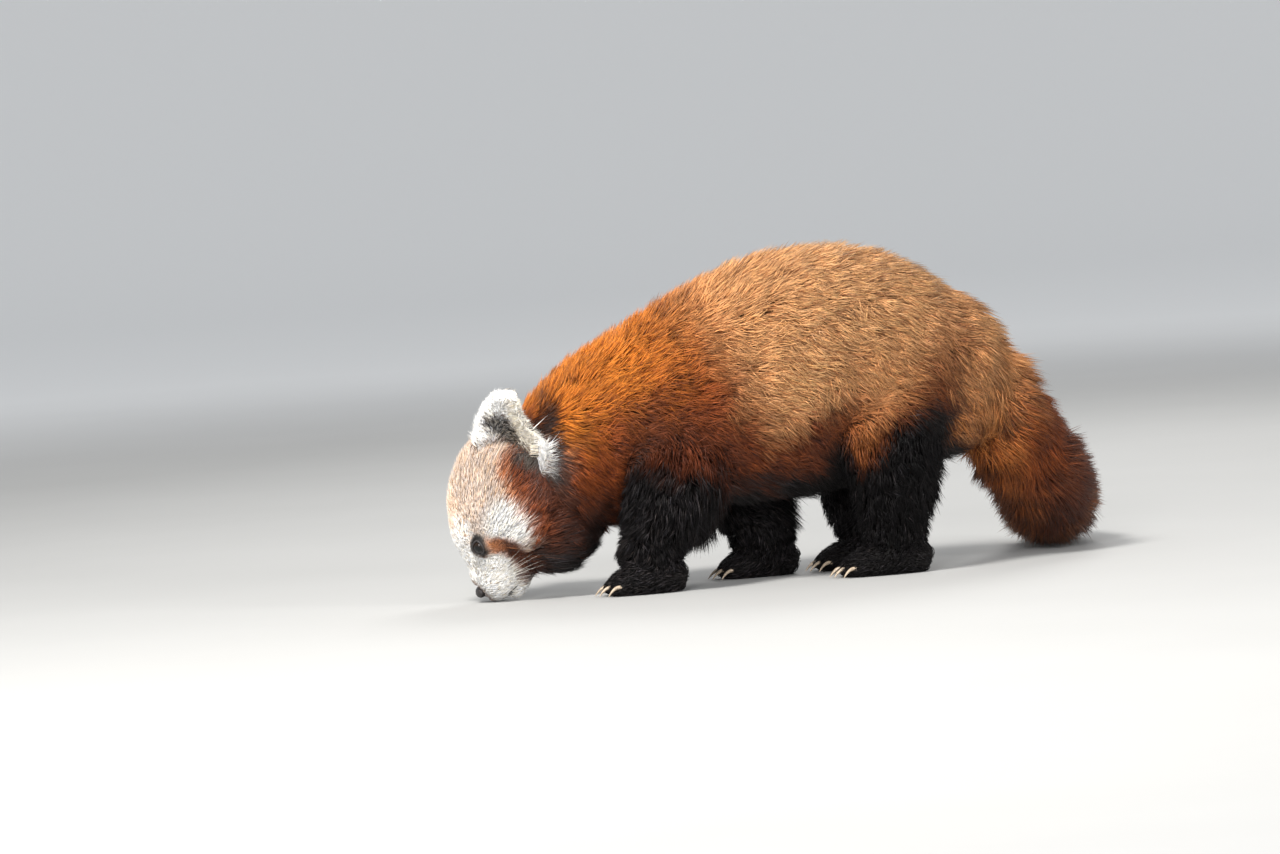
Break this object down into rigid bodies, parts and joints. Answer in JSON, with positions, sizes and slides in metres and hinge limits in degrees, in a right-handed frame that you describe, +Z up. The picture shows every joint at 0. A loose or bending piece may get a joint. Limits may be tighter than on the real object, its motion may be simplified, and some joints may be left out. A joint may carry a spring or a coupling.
{
  "type": "red panda",
  "caption": "Life-size still model of a red panda on all fours, nose to the ground, with arched back, black legs, ears and bushy ringed tail laid on the floor.",
  "frame": {"origin": "centre of the model's box at floor level, under the belly", "axes": "-X the way the animal faces, +X towards the rump and tail, -Y its left side, +Z up from the floor"},
  "size_m": [0.6312, 0.3622, 0.2997],
  "materials": {
    "coat_rufous": "long, soft rufous fur",
    "coat_tan": "long, dense fur, tan over orange",
    "coat_black": "black fur with a soft sheen",
    "coat_pale": "short, pale face fur",
    "coat_white": "white ear fur",
    "coat_ringed": "bushy fur with faint rings",
    "eye": "wet, dark brown glass eye",
    "nose": "moist, fine-grained black nose leather",
    "claw": "smooth pale horn"
  },
  "bodies": {
    "root": {"head": "coat_pale", "nose": "nose", "eye_left": "eye", "eye_right": "eye", "ear_left": "coat_white", "ear_right": "coat_white", "neck": "coat_rufous", "torso": "coat_tan", "front_leg_left": "coat_black", "front_leg_right": "coat_black", "hind_leg_left": "coat_black", "hind_leg_right": "coat_black", "front_paw_left": "coat_black", "front_paw_right": "coat_black", "hind_paw_left": "coat_black", "hind_paw_right": "coat_black", "tail_upper": "coat_ringed", "tail_lower": "coat_ringed"}
  },
  "joints": []
}
